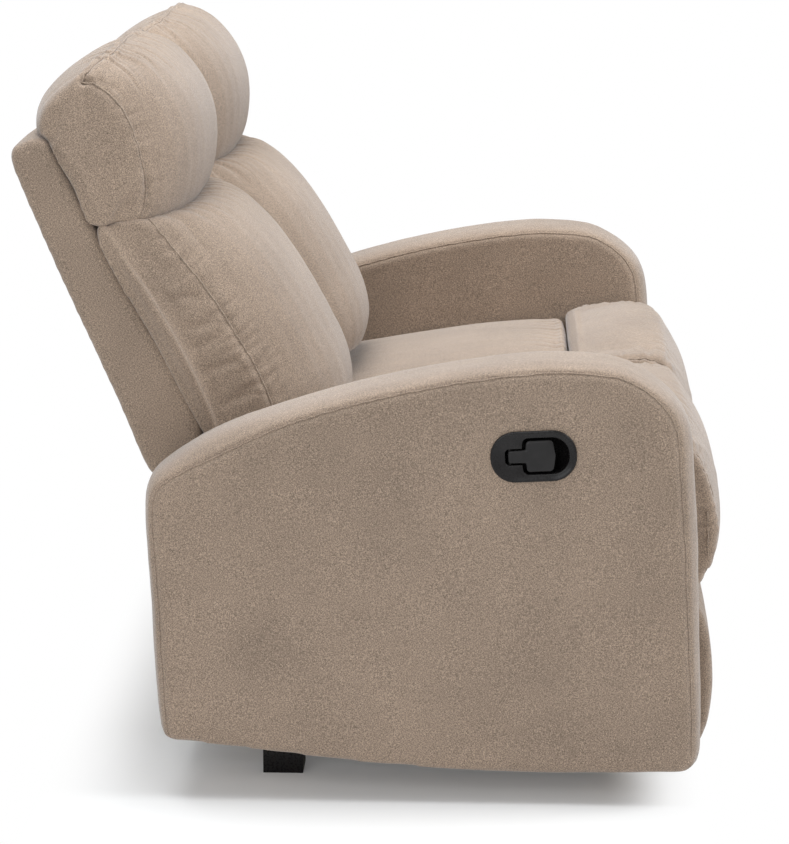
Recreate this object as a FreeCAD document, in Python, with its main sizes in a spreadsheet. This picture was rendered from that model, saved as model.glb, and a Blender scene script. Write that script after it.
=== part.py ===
import FreeCAD, Part
import math
import os
import re

# A two-seat reclining sofa. It stands on the floor, +Z is up and its front faces -Y.
# The near arm is at -X and the far arm at +X; every size is in millimetres.

os.makedirs("parts", exist_ok=True)
doc = FreeCAD.newDocument("reclining_sofa")
V = FreeCAD.Vector

# Driving sizes
SIZES = {
    "overall_width": 1290,
    "arm_thickness": 127,
    "arm_crown": 14,
    "panel_thickness": 12,
    "pad_skin": 10,
    "floor_gap": 45,
    "rail_height": 43,
    "rail_depth": 40,
    "rail_in_arm": 45,
    "front_rail_y": -385,
    "rear_rail_y": 110,
    "foot_width": 50,
    "foot_length": 57,
    "front_foot_inset": 60,
    "rear_foot_inset": 10,
    "bolt_diameter": 8,
    "bolt_head": 14,
    "bolt_sunk": 15,
    "bolt_end": 4,
    "arm_gap": 4,
    "seat_gap": 3,
    "back_inset": 4,
    "plate_inset": 22,
    "plate_gap": 1,
    "link_thickness": 4,
    "link_width": 20,
    "pin_diameter": 8,
    "recline_pin": 10,
    "running_clearance": 0.05,
    "head_thickness": 3,
    "flange_width": 27,
    "arm_pivot_y": -300,
    "arm_pivot_z": 333,
    "swing_back": 66,
    "swing_down": 138,
    "reach_forward": 146,
    "reach_up": 136,
    "rear_arm_offset": 90,
    "control_offset": 60,
    "tube_diameter": 20,
    "tube_wall": 2,
    "tube_from_pivot": 53,
    "recline_y": 265,
    "recline_z": 395,
    "seat_frame_z": 350,
    "seat_frame_height": 22,
    "seat_frame_front": -280,
    "seat_frame_rear": 165,
    "seat_rail": 25,
    "spring_wire": 4,
    "spring_turn": 10,
    "spring_pitch": 80,
    "board_face": -412,
    "board_thickness": 15,
    "rear_panel_y": 285,
    "rear_panel_top": 378,
    "post_width": 28,
    "post_depth": 30,
    "post_foot_y": 272,
    "post_foot_z": 440,
    "post_top_y": 462,
    "post_top_z": 862,
    "handle_y": -220,
    "handle_z": 498,
    "handle_tilt": 3,
    "flange_thickness": 3,
    "handle_pin": 3,
    "cable_diameter": 6,
}

# Sizes that fit one piece to another: what lies between the arms follows their inner faces
FITTED = {
    "inner_face": "=overall_width / 2 - flange_thickness - arm_thickness",
    "seat_half": "=(inner_face - arm_gap - seat_gap) / 2",
    "seat_centre": "=seat_gap + seat_half",
    "back_half": "=seat_half - back_inset",
    "plate_half": "=seat_half - plate_inset",
    "rail_reach": "=inner_face + rail_in_arm",
    "front_foot_x": "=inner_face - front_foot_inset",
    "rear_foot_x": "=inner_face - rear_foot_inset",
}
sheet = doc.addObject("Spreadsheet::Sheet", "dims")
for row, (word, number) in enumerate(list(SIZES.items()) + list(FITTED.items()), 1):
    sheet.set("A%d" % row, word)
    sheet.set("B%d" % row, str(number))
    sheet.setAlias("B%d" % row, word)
doc.recompute()


def size(word):
    return float(sheet.get(word))


# Values that follow from the driving sizes
outer_x = size("overall_width") / 2 - size("flange_thickness")
inner_x = size("inner_face")
rail_top = size("floor_gap") + size("rail_height")
clear = size("running_clearance")
pin_r = size("pin_diameter") / 2
SIDES = {"near": -1, "far": 1}


# Helpers for making and naming objects
def bound(text):
    """An expression in which every word of the sheet is read from it."""
    return re.sub(r"[a-z][a-z_]*", lambda m: "dims." + m.group(0)
                  if m.group(0) in SIZES or m.group(0) in FITTED else m.group(0), str(text))


def add(kind, name, values, at=("0", "0", "0"), turn=None):
    """A primitive whose sizes and place are expressions."""
    obj = doc.addObject(kind, name)
    if turn:
        obj.Placement = FreeCAD.Placement(V(0, 0, 0), FreeCAD.Rotation(*turn))
    for prop, text in values.items():
        obj.setExpression(prop, bound(text))
    for axis, text in zip("xyz", at):
        obj.setExpression("Placement.Base." + axis, bound(text))
    return obj


def box(name, start, span):
    return add("Part::Box", name, dict(zip(("Length", "Width", "Height"), span)), start)


def rod_z(name, radius, length, start):
    return add("Part::Cylinder", name, {"Radius": radius, "Height": length}, start)


def cut(name, base, tools):
    obj = doc.addObject("Part::Cut", name)
    obj.Base = base
    obj.Tool = tools[0] if len(tools) == 1 else fuse(name + "_tools", tools)
    return obj


def fuse(name, parts):
    obj = doc.addObject("Part::MultiFuse", name)
    obj.Shapes = parts
    return obj


def group(name, parts):
    obj = doc.addObject("Part::Compound", name)
    obj.Links = parts
    return obj


def shaped(name, shape):
    obj = doc.addObject("Part::Feature", name)
    obj.Shape = shape
    obj.Placement = FreeCAD.Placement()
    return obj


nodes = {}


def node(name, obj):
    """Keeps an object as one named piece of the sofa."""
    obj.Label = name
    nodes[name] = obj
    return obj


# Helpers for shapes drawn from the side, on Y and Z
def slab(points, x0, x1):
    """A polygon in Y and Z, as thick as from x0 to x1."""
    ring = [V(x0, y, z) for y, z in points]
    return Part.Face(Part.makePolygon(ring + ring[:1])).extrude(V(x1 - x0, 0, 0))


def disc(y, z, radius, x0, x1):
    return Part.makeCylinder(radius, abs(x1 - x0), V(min(x0, x1), y, z), V(1, 0, 0))


def section(points, x):
    """A closed outline: each pair of points is a corner and the middle of the arc after it."""
    edges = []
    for i in range(0, len(points), 2):
        a, m, b = (V(x, *points[j % len(points)]) for j in (i, i + 1, i + 2))
        sag = (m - a).cross(b - a).Length / (b - a).Length
        edges.append(Part.LineSegment(a, b) if sag < 0.05 else Part.Arc(a, m, b))
    return Part.Wire([edge.toShape() for edge in edges])


def crowned(middle, side, stations):
    """A padded form: the outline goes from middle to side as the share at a station goes to 1."""
    wires = []
    for x, share in stations:
        points = [(m[0] + (s[0] - m[0]) * share, m[1] + (s[1] - m[1]) * share)
                  for m, s in zip(middle, side)]
        wires.append(section(points, x))
    solid = Part.makeLoft(wires, True, False)
    if solid.Volume < 0:
        solid.reverse()
    return solid


def pillow_stations(centre, half, power=3.5):
    """Stations across a cushion that bulges in the middle and is drawn in at its two sides."""
    steps = 5
    return [(centre + half * i / steps, abs(i / steps) ** power)
            for i in range(-steps, steps + 1)]


# Arms: a plywood frame inside a padded cover that is crowned along its top, front and rear
seam_outline = [
    (-380, 52), (-428, 62), (-442, 105), (-434, 270), (-421, 450), (-406, 550),
    (-350, 601), (-272, 613), (-193, 609), (-37, 582), (117, 537), (195, 500),
    (269, 463), (289, 447), (297, 425), (291, 270), (283, 110), (277, 92),
    (256, 87), (100, 68), (-60, 53), (-220, 45)]
lift = size("arm_crown") / 14
crown_shift = [
    (0, 0), (-12, 0), (-13, 0), (-16, 0), (-20, -10), (-17, 4),
    (0, 9), (-2, 9), (0, 11), (0, 12), (0, 15), (14, 18),
    (12, 10), (14, 5), (12, 0), (12, 0), (11, 0), (11, 0),
    (0, 0), (0, 0), (0, 0), (0, 0)]
crown_outline = [(y + dy * lift, z + dz * lift)
                 for (y, z), (dy, dz) in zip(seam_outline, crown_shift)]
frame_outline = [(-412, rail_top), (-408, 440), (-392, 535), (-345, 578), (-190, 588),
                 (110, 518), (250, 452), (272, 425), (262, 112), (165, rail_top)]
panel = size("panel_thickness")
frame_in = inner_x + panel
frame_out = outer_x - size("pad_skin")
tilt = (V(0, size("handle_y"), size("handle_z")), V(1, 0, 0), -size("handle_tilt"))


def on_handle(side, near_out, far_in, front, back, down, up):
    """A block at the handle: depths from the arm's outer face, then front, rear, down and up."""
    x0, x1 = side * (outer_x - far_in), side * (outer_x + near_out)
    y, z = size("handle_y"), size("handle_z")
    shape = Part.makeBox(abs(x1 - x0), front + back, down + up,
                         V(min(x0, x1), y - front, z - down))
    shape.rotate(*tilt)
    return shape


cable_y = size("handle_y") + 32
cable_end_z = 198
for word, side in SIDES.items():
    form = crowned(crown_outline, seam_outline, [
        (side * (inner_x + size("arm_thickness") * i / 10), abs(i / 5 - 1) ** 3.5)
        for i in range(11)])
    envelope = slab(frame_outline, side * frame_in, side * frame_out)
    handle_hole = on_handle(side, 2, 30, 52, 43, 30, 30)
    cable_hole = disc(cable_y, cable_end_z + 4, 12, side * (inner_x - 1),
                      side * (frame_in + panel + 1))
    rails = [Part.makeBox(size("rail_reach"), size("rail_depth"), rail_top,
                          V(min(0, side * size("rail_reach")), size(y), 0))
             for y in ("front_rail_y", "rear_rail_y")]
    pad = form.cut([envelope, handle_hole, cable_hole] + rails)
    node("arm_pad_" + word, shaped("ArmPad_" + word, pad))

    outer_panel = slab(frame_outline, side * frame_out, side * (frame_out - panel))
    inner_panel = slab(frame_outline, side * frame_in, side * (frame_in + panel))
    gap = sorted((side * (frame_in + panel), side * (frame_out - panel)))
    top_line = frame_outline[3:6]
    top_rail = top_line + [(y, z - 25) for y, z in reversed(top_line)]
    pieces = [
        outer_panel.cut(handle_hole),
        inner_panel.cut(cable_hole),
        slab([(-400, 130), (-360, 130), (-360, 500), (-400, 470)], *gap),
        slab([(210, 130), (250, 130), (250, 440), (210, 440)], *gap),
        slab(top_rail, *gap),
        slab([(-400, rail_top), (165, rail_top), (250, 110), (250, 130), (-400, 130)],
             *gap)]
    node("arm_frame_" + word, shaped("ArmFrame_" + word, Part.makeCompound(pieces)))

# Base: two cross rails that carry the arms and the mechanisms, the rear panel and four feet
for word, y in (("front", "front_rail_y"), ("rear", "rear_rail_y")):
    rail = box(word + "_rail_bar", ("-rail_reach", y, "floor_gap"),
               ("2 * rail_reach", "rail_depth", "rail_height"))
    drills = [rod_z("%s_rail_hole_%s" % (word, end), "bolt_diameter / 2", "rail_height + 20",
                    ("%d * %s_foot_x" % (side, word), "%s + rail_depth / 2" % y,
                     "floor_gap - 10"))
              for end, side in SIDES.items()]
    node("base_rail_" + word, cut(word + "_rail", rail, drills))

node("rear_panel", box("rear_panel_board", (
    "-inner_face", "rear_panel_y", "floor_gap + rail_height"), (
    "2 * inner_face", "panel_thickness", "rear_panel_top - floor_gap - rail_height")))

feet, bolts = [], []
for end, side in SIDES.items():
    for word, y in (("front", "front_rail_y"), ("rear", "rear_rail_y")):
        tag = "%s_%s" % (end, word)
        middle = "%s + rail_depth / 2" % y
        across = "%d * %s_foot_x" % (side, word)
        block = box("foot_block_" + tag, (
            across + " - foot_width / 2", middle + " - foot_length / 2", "0"),
            ("foot_width", "foot_length", "floor_gap"))
        sunk = rod_z("foot_sink_" + tag, "bolt_head / 2 + 2", "bolt_sunk",
                     (across, middle, "0"))
        hole = rod_z("foot_hole_" + tag, "bolt_diameter / 2", "floor_gap",
                     (across, middle, "0"))
        feet.append(cut("foot_" + tag, block, [sunk, hole]))
        head = rod_z("bolt_head_" + tag, "bolt_head / 2", "bolt_head / 3",
                     (across, middle, "bolt_sunk - bolt_head / 3"))
        shank = rod_z("bolt_shank_" + tag, "bolt_diameter / 2",
                      "floor_gap + rail_height - bolt_end - bolt_sunk",
                      (across, middle, "bolt_sunk"))
        bolts.append(fuse("bolt_" + tag, [head, shank]))
node("feet", group("feet_group", feet))
node("foot_bolts", group("foot_bolts_group", bolts))

# Footrest linkage: two parallel swing arms, a coupler and a control link on each side
arm_length = math.hypot(size("swing_back"), size("swing_down"))
reach = math.hypot(size("reach_forward"), size("reach_up"))
swing = V(0, size("swing_back"), -size("swing_down")) / arm_length
along = V(0, -size("reach_forward"), size("reach_up")) / reach
pivot_o = V(0, size("arm_pivot_y"), size("arm_pivot_z"))
pivot_e = pivot_o + swing * arm_length
pivot_q = pivot_e + along * reach
pivot_o2 = pivot_o - along * size("rear_arm_offset")
pivot_e2 = pivot_e - along * size("rear_arm_offset")
pivot_c = pivot_e + swing * size("control_offset")
pivot_d = pivot_q + swing * size("control_offset")
tube_at = pivot_o + swing * size("tube_from_pivot")
step = size("link_thickness") + size("plate_gap")
thick = size("link_thickness")
plate_out = size("plate_half")
plate_in = plate_out - thick
arm_plane = (plate_in - size("plate_gap"), plate_in - step)
coupler_plane = tuple(x - step for x in arm_plane)
bracket_plane = tuple(x - step for x in coupler_plane)


def strip(x0, x1, ends, loose, tight):
    """A flat link with round ends, with running holes at loose and tight holes at tight."""
    radius = size("link_width") / 2
    first, last = ends
    run = last - first
    normal = V(0, -run.z, run.y) / run.Length * radius
    corners = [first + normal, last + normal, last - normal, first - normal]
    shape = slab([(p.y, p.z) for p in corners], x0, x1)
    shape = shape.fuse([disc(p.y, p.z, radius, x0, x1) for p in ends]).removeSplitter()
    holes = [disc(p.y, p.z, pin_r + clear, x0, x1) for p in loose]
    holes += [disc(p.y, p.z, pin_r, x0, x1) for p in tight]
    return shape.cut(holes)


def pin(at, x_start, x_end, head_start, head_end, radius):
    """A shoulder pin along X with one or two heads."""
    shape = disc(at.y, at.z, radius, x_start, x_end)
    heads = [disc(at.y, at.z, radius + 3, *span) for span in (head_start, head_end) if span]
    return shape.fuse(heads).removeSplitter() if heads else shape


def both_sides(make):
    """The same piece on the left and the right of one seat."""
    return Part.makeCompound([make(-1), make(1)])


side_plate_outline = [
    (-385, rail_top), (285, rail_top), (285, 385), (278, 408), (252, 408), (240, 385),
    (200, 350), (-285, 350), (-318, 346), (-318, 318), (-385, 110)]
head = size("head_thickness")
for word, side in SIDES.items():
    centre = side * size("seat_centre")

    for name, s in (("outer", side), ("inner", -side)):
        plate = slab(side_plate_outline, centre + s * plate_in, centre + s * plate_out)
        foot_flange = slab([(-385, rail_top), (285, rail_top), (285, rail_top + thick),
                            (-385, rail_top + thick)],
                           centre + s * (plate_out - size("flange_width")),
                           centre + s * plate_in)
        top = size("seat_frame_z")
        top_flange = slab([(-280, top - thick), (165, top - thick), (165, top), (-280, top)],
                          centre + s * (plate_out - size("flange_width")),
                          centre + s * plate_in)
        holes = [disc(p.y, p.z, pin_r, centre + s * plate_in, centre + s * plate_out)
                 for p in (pivot_o, pivot_o2)]
        holes.append(disc(size("recline_y"), size("recline_z"), size("recline_pin") / 2,
                          centre + s * plate_in, centre + s * plate_out))
        plate = plate.fuse([foot_flange, top_flange]).removeSplitter().cut(holes)
        node("side_plate_%s_%s" % (word, name),
             shaped("SidePlate_%s_%s" % (word, name), plate))

    def front_arm(s):
        return strip(centre + s * arm_plane[1], centre + s * arm_plane[0],
                     (pivot_o, pivot_c), [pivot_o], [pivot_e, pivot_c])

    tube_r = size("tube_diameter") / 2
    tube = disc(tube_at.y, tube_at.z, tube_r, centre - arm_plane[1], centre + arm_plane[1])
    tube = tube.cut(disc(tube_at.y, tube_at.z, tube_r - size("tube_wall"),
                         centre - arm_plane[1], centre + arm_plane[1]))
    node("front_arms_" + word, shaped("FrontArms_" + word, tube.fuse(
        [front_arm(-1), front_arm(1)]).removeSplitter()))
    node("rear_arms_" + word, shaped("RearArms_" + word, both_sides(lambda s: strip(
        centre + s * arm_plane[1], centre + s * arm_plane[0],
        (pivot_o2, pivot_e2), [pivot_o2], [pivot_e2]))))
    node("couplers_" + word, shaped("Couplers_" + word, both_sides(lambda s: strip(
        centre + s * coupler_plane[1], centre + s * coupler_plane[0],
        (pivot_e2, pivot_q), [pivot_e2, pivot_e, pivot_q], []))))
    node("control_links_" + word, shaped("ControlLinks_" + word, both_sides(lambda s: strip(
        centre + s * coupler_plane[1], centre + s * coupler_plane[0],
        (pivot_c, pivot_d), [pivot_c, pivot_d], []))))

    # The pins at one joint stand in the part that carries them and end in a head
    def inward_pin(at, s):
        """Held in a swing arm, with its head inside the link that turns on it."""
        end = coupler_plane[1] - 0.3
        return pin(at, centre + s * arm_plane[0], centre + s * end, None,
                   (centre + s * end, centre + s * (end - head)), pin_r)

    def outward_pin(at, s):
        """Held in a footrest bracket, with its head outside the link that turns on it."""
        end = coupler_plane[0] + 0.3
        return pin(at, centre + s * bracket_plane[1], centre + s * end, None,
                   (centre + s * end, centre + s * (end + head)), pin_r)

    node("front_arm_pins_" + word, shaped("FrontArmPins_" + word, Part.makeCompound(
        [inward_pin(p, s) for p in (pivot_e, pivot_c) for s in (-1, 1)])))
    node("rear_arm_pins_" + word, shaped("RearArmPins_" + word, Part.makeCompound(
        [inward_pin(pivot_e2, s) for s in (-1, 1)])))
    node("footrest_pins_" + word, shaped("FootrestPins_" + word, Part.makeCompound(
        [outward_pin(p, s) for p in (pivot_q, pivot_d) for s in (-1, 1)])))

# Pins that the side plates hold: two for each pair of swing arms, one for each back bracket
plate_pins, recline_pins = [], []
recline_at = V(0, size("recline_y"), size("recline_z"))
for side in SIDES.values():
    for s in (-1, 1):
        centre = side * size("seat_centre")
        inner_head = arm_plane[1] - 0.3
        for p in (pivot_o, pivot_o2):
            plate_pins.append(pin(
                p, centre + s * plate_out, centre + s * inner_head,
                (centre + s * plate_out, centre + s * (plate_out + head)),
                (centre + s * inner_head, centre + s * (inner_head - head)), pin_r))
        recline_pins.append(pin(
            recline_at, centre + s * plate_out, centre + s * inner_head,
            (centre + s * plate_out, centre + s * (plate_out + head)),
            (centre + s * inner_head, centre + s * (inner_head - head)),
            size("recline_pin") / 2))
node("plate_pins", shaped("PlatePins", Part.makeCompound(plate_pins)))
node("recline_pins", shaped("ReclinePins", Part.makeCompound(recline_pins)))

# Seats: a frame on the side plates, sinuous wire springs and a crowned cushion
seat_middle = [
    (-276, 372), (-281, 420), (-279, 458), (-274, 478), (-250, 487), (-150, 487),
    (-50, 473), (30, 460), (120, 441), (158, 431), (164, 416), (166, 396),
    (160, 372), (-60, 372)]
seat_side = [
    (-274, 372), (-280, 410), (-278, 444), (-272, 459), (-256, 465), (-150, 455),
    (-50, 442), (30, 428), (120, 413), (150, 407), (157, 398), (158, 386),
    (154, 372), (-60, 372)]
springs = []
for word, side in SIDES.items():
    rail_half = "(plate_half + 14)"
    x0 = "%d * seat_centre - %s" % (side, rail_half)
    ring = box("seat_ring_" + word, (x0, "seat_frame_front", "seat_frame_z"), (
        "2 * " + rail_half, "seat_frame_rear - seat_frame_front", "seat_frame_height"))
    hollow = box("seat_hollow_" + word, (
        x0 + " + seat_rail + 5", "seat_frame_front + seat_rail", "seat_frame_z - 1"), (
        "2 * (%s - seat_rail - 5)" % rail_half,
        "seat_frame_rear - seat_frame_front - 2 * seat_rail", "seat_frame_height + 2"))
    node("seat_frame_" + word, cut("seat_frame_ring_" + word, ring, [hollow]))
    centre = side * size("seat_centre")
    node("seat_cushion_" + word, shaped("SeatCushion_" + word, crowned(
        seat_middle, seat_side, pillow_stations(centre, size("seat_half"), 2.2))))
    wire_r = size("spring_wire") / 2
    turn = size("spring_turn")
    start = size("seat_frame_front") + size("seat_rail") + wire_r
    stop = size("seat_frame_rear") - size("seat_rail") - wire_r
    count = int((stop - start) // (2 * turn))
    turn = (stop - start) / (2 * count)
    height = size("seat_frame_z") + size("seat_frame_height") - wire_r - 2
    for lane in (-2, -1, 0, 1, 2):
        x = centre + lane * size("spring_pitch")
        arcs = []
        for i in range(count):
            y = start + 2 * turn * i
            bulge = turn if i % 2 else -turn
            arcs.append(Part.Arc(V(x, y, height), V(x + bulge, y + turn, height),
                                 V(x, y + 2 * turn, height)).toShape())
        path = Part.Wire(arcs)
        profile = Part.Wire([Part.Circle(V(x, start, height), V(1, 0, 0), wire_r).toShape()])
        springs.append(path.makePipeShell([profile], True, False))
node("seat_springs", shaped("SeatSprings", Part.makeCompound(springs)))

# Footrests: a bent board on two brackets, with a knee roll above and a lower pad below it
face = size("board_face")
front_face = face - size("board_thickness")
board_outline = [
    (face, 40), (front_face, 40), (front_face, 405), (-408, 441), (-303, 454), (-302, 443),
    (-398, 431), (face, 400)]
ff = front_face - 1
roll_middle = [
    (-303, 455), (-294, 456), (-291, 468), (-292, 484), (-301, 497), (-350, 516),
    (-405, 523), (-446, 512), (-468, 480), (-482, 448), (-492, 412), (-500, 365),
    (-502.4, 330), (-499, 298), (-489, 278), (-482, 271), (-466, 265), (-448, 264),
    (ff, 264), (ff, 330), (ff, 406), (-418.5, 424), (-409, 442), (-356, 448.5)]
roll_side = [
    (-303, 455), (-298, 457), (-295, 461), (-295, 468), (-300, 477), (-350, 487),
    (-400, 490), (-438, 482), (-456, 460), (-467, 437), (-476, 412), (-484, 375),
    (-484, 340), (-478, 313), (-468, 293), (-462, 283), (-452, 275), (-444, 273),
    (ff, 273), (ff, 330), (ff, 406), (-418.5, 424), (-409, 442), (-356, 448.5)]
lower_middle = [
    (ff, 261), (-446, 261), (-460, 257), (-468, 246), (-475, 222), (-482, 170),
    (-486, 120), (-484, 70), (-475, 40), (-462, 29), (-450, 26), (-436, 27),
    (ff, 34), (ff, 140)]
lower_side = [
    (ff, 252), (-442, 252), (-454, 248), (-462, 238), (-470, 218), (-478, 168),
    (-479, 118), (-472, 70), (-462, 46), (-455, 37), (-446, 33), (-436, 33),
    (ff, 40), (ff, 140)]
for word, side in SIDES.items():
    centre = side * size("seat_centre")
    half = size("seat_half")
    node("footrest_board_" + word, shaped("FootrestBoard_" + word, slab(
        board_outline, centre - half + 18, centre + half - 18)))
    node("knee_roll_" + word, shaped("KneeRoll_" + word, crowned(
        roll_middle, roll_side, pillow_stations(centre, half, 2.2))))
    node("lower_pad_" + word, shaped("LowerPad_" + word, crowned(
        lower_middle, lower_side, pillow_stations(centre, half, 2.2))))

    def bracket(s):
        x0, x1 = centre + s * bracket_plane[1], centre + s * bracket_plane[0]
        cheek = slab([(face, 245), (face, 352), (pivot_q.y + 2, 343),
                      (pivot_q.y + 11, pivot_q.z + 3), (pivot_d.y + 11, pivot_d.z + 3),
                      (pivot_d.y + 8, pivot_d.z - 9), (pivot_d.y - 4, pivot_d.z - 11)], x0, x1)
        rounds = [disc(p.y, p.z, 12, x0, x1) for p in (pivot_q, pivot_d)]
        base = slab([(face, 245), (face + 3, 245), (face + 3, 352), (face, 352)],
                    centre + s * (bracket_plane[1] - 22), centre + s * bracket_plane[1])
        holes = [disc(p.y, p.z, pin_r, x0, x1) for p in (pivot_q, pivot_d)]
        return cheek.fuse(rounds + [base]).removeSplitter().cut(holes)

    node("footrest_brackets_" + word, shaped("FootrestBrackets_" + word, both_sides(bracket)))

# Backs: a wooden ladder frame in a padded shell, on two brackets, with two cushions
post_foot = V(0, size("post_foot_y"), size("post_foot_z"))
post_top = V(0, size("post_top_y"), size("post_top_z"))
post_length = (post_top - post_foot).Length
lean = (post_top - post_foot) / post_length
across = V(0, lean.z, -lean.y)


def leaning(x0, x1, low, high, front, rear):
    """A block along the back's lean: heights up from the foot of the posts, depths from them."""
    corners = [(low, front), (low, rear), (high, rear), (high, front)]
    points = [post_foot + lean * u + across * v for u, v in corners]
    return slab([(p.y, p.z) for p in points], x0, x1)


shell_middle = [
    (238, 490), (256, 455), (300, 424), (308, 423), (318, 430), (358, 527),
    (398, 620), (437, 710), (474, 800), (489, 838), (503, 880), (501, 890),
    (492, 896), (472, 904), (452, 906), (447, 903), (444, 898), (341.5, 695)]
shell_side = [
    (241, 492), (258, 458), (299, 427), (307, 426), (316, 432), (356, 527),
    (396, 620), (435, 710), (472, 800), (487, 838), (500, 878), (498, 887),
    (489, 893), (471, 901), (453, 903), (449, 900), (446, 896), (344, 695)]
pillow_middle = [
    (386, 789), (407, 833), (434, 884), (444, 906), (458, 914), (468, 912),
    (477, 912), (478, 928), (470, 950), (434, 985), (388, 1012), (345, 1020),
    (305, 1006), (267, 972), (246, 928), (240, 888), (243, 845), (250, 818),
    (268, 798), (325, 790)]
pillow_side = [
    (387, 789), (408, 833), (436, 886), (442, 900), (446, 906), (450, 908),
    (452, 914), (450, 926), (442, 944), (424, 963), (400, 977), (378, 973),
    (356, 955), (338, 917), (326, 882), (317, 855), (313, 833), (316, 812),
    (326, 797), (358, 790)]
lumbar_middle = [
    (250, 800), (228, 800), (200, 788), (152, 742), (112, 684), (72, 610),
    (46, 545), (40, 506), (45, 481), (51, 471), (63, 467), (120, 461),
    (186, 452), (215, 459), (233, 490), (295, 612), (375, 770), (352, 776),
    (320, 784), (284, 792)]
lumbar_side = [
    (316, 783), (305, 775), (290, 760), (248, 712), (213, 662), (180, 602),
    (148, 535), (143, 507), (147, 484), (153, 475), (165, 471), (180, 467),
    (200, 463), (222, 468), (237, 496), (299, 616), (376, 770), (364, 776),
    (348, 781), (332, 784)]
post = size("post_width")
depth = size("post_depth") / 2
for word, side in SIDES.items():
    centre = side * size("seat_centre")
    frame_edge = arm_plane[1]
    pieces = [leaning(centre + s * (frame_edge - post), centre + s * frame_edge,
                      0, post_length, -depth, depth) for s in (-1, 1)]
    for low, high in ((0, 50), (215, 255), (post_length - 50, post_length)):
        pieces.append(leaning(centre - frame_edge + post, centre + frame_edge - post,
                              low, high, -depth + 3, depth - 3))
    node("back_frame_" + word, shaped("BackFrame_" + word, Part.makeCompound(pieces)))

    pocket_half = arm_plane[0] + 1
    pocket = leaning(centre - pocket_half, centre + pocket_half, -60, post_length + 1,
                     -depth, depth)
    slots = [leaning(centre + s * (arm_plane[1] - 1), centre + s * pocket_half,
                     -60, 200, -14, 26) for s in (-1, 1)]
    shell = crowned(shell_middle, shell_side, pillow_stations(
        centre, size("back_half"))).cut([pocket] + slots)
    node("back_shell_" + word, shaped("BackShell_" + word, shell))
    node("head_pillow_" + word, shaped("HeadPillow_" + word, crowned(
        pillow_middle, pillow_side, pillow_stations(centre, size("back_half") - 5))))
    node("lumbar_cushion_" + word, shaped("LumbarCushion_" + word, crowned(
        lumbar_middle, lumbar_side, pillow_stations(centre, size("back_half") - 3))))

    def recline_bracket(s):
        x0, x1 = centre + s * arm_plane[1], centre + s * arm_plane[0]
        ends = (recline_at, post_foot + lean * 190)
        run = ends[1] - ends[0]
        normal = V(0, -run.z, run.y) / run.Length * 12
        corners = [ends[0] + normal, ends[1] + normal, ends[1] - normal, ends[0] - normal]
        bar = slab([(p.y, p.z) for p in corners], x0, x1)
        eye = disc(recline_at.y, recline_at.z, 13, x0, x1)
        hole = disc(recline_at.y, recline_at.z, size("recline_pin") / 2 + clear, x0, x1)
        return bar.fuse(eye).removeSplitter().cut(hole)

    node("recline_brackets_" + word,
         shaped("ReclineBrackets_" + word, both_sides(recline_bracket)))

# Handles: a cup sunk in the outer face of each arm, with a T-shaped paddle and its cable
handle_r = size("handle_pin") / 2
hinge_back, hinge_deep = 32, 5


def handle_rod(side, radius, half):
    """A rod along the paddle's hinge line, which is upright before the handle is tilted."""
    shape = Part.makeCylinder(radius, 2 * half, V(
        side * (outer_x - hinge_deep), size("handle_y") + hinge_back,
        size("handle_z") - half))
    shape.rotate(*tilt)
    return shape


def rounded_flange(side):
    half_l, half_h, r = 58, 35, 27
    y, z = size("handle_y"), size("handle_z")
    x0 = side * outer_x
    shape = slab([(y - half_l + r, z - half_h), (y + half_l - r, z - half_h),
                  (y + half_l - r, z + half_h), (y - half_l + r, z + half_h)],
                 x0, x0 + side * size("flange_thickness"))
    shape = shape.fuse([
        slab([(y - half_l, z - half_h + r), (y + half_l, z - half_h + r),
              (y + half_l, z + half_h - r), (y - half_l, z + half_h - r)],
             x0, x0 + side * size("flange_thickness"))] + [
        disc(y + sy * (half_l - r), z + sz * (half_h - r), r, x0,
             x0 + side * size("flange_thickness")) for sy in (-1, 1) for sz in (-1, 1)])
    shape.rotate(*tilt)
    return shape.removeSplitter()


for word, side in SIDES.items():
    bowl = on_handle(side, 0, 30, 51, 19, 29, 29)
    throat = on_handle(side, 0, 22, 19, 42, 15.5, 15.5)
    wide = on_handle(side, 4, 26, 47.5, 15, 25, 25)
    narrow = on_handle(side, 4, 17, 15, 38, 11, 11)
    cup = rounded_flange(side).fuse([bowl, throat]).removeSplitter().cut(
        [wide, narrow, handle_rod(side, handle_r + clear, 16)])
    node("handle_cup_" + word, shaped("HandleCup_" + word, cup))
    blade = on_handle(side, 1.5, 3, 27.5, 10, 22, 22)
    stem = on_handle(side, 1.5, 3, -9, hinge_back, 9, 9)
    lever = on_handle(side, -hinge_deep, 15.5, -hinge_back + 2, hinge_back + 2, 4, 4)
    paddle = blade.fuse([stem, lever, handle_rod(side, 4, 10.8),
                         handle_rod(side, handle_r, 15)]).removeSplitter()
    node("handle_paddle_" + word, shaped("HandlePaddle_" + word, paddle))
    y, z = size("handle_y"), size("handle_z")
    leaf = [(17, 17), (16.3, 17), (28.9, 10), (29.6, 10)]
    ring = [V(side * (outer_x - deep), y + back, z - 3) for back, deep in leaf]
    leaf = Part.Face(Part.makePolygon(ring + ring[:1])).extrude(V(0, 0, 6))
    leaf.rotate(*tilt)
    node("return_spring_" + word, shaped("ReturnSpring_" + word, leaf))


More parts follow.
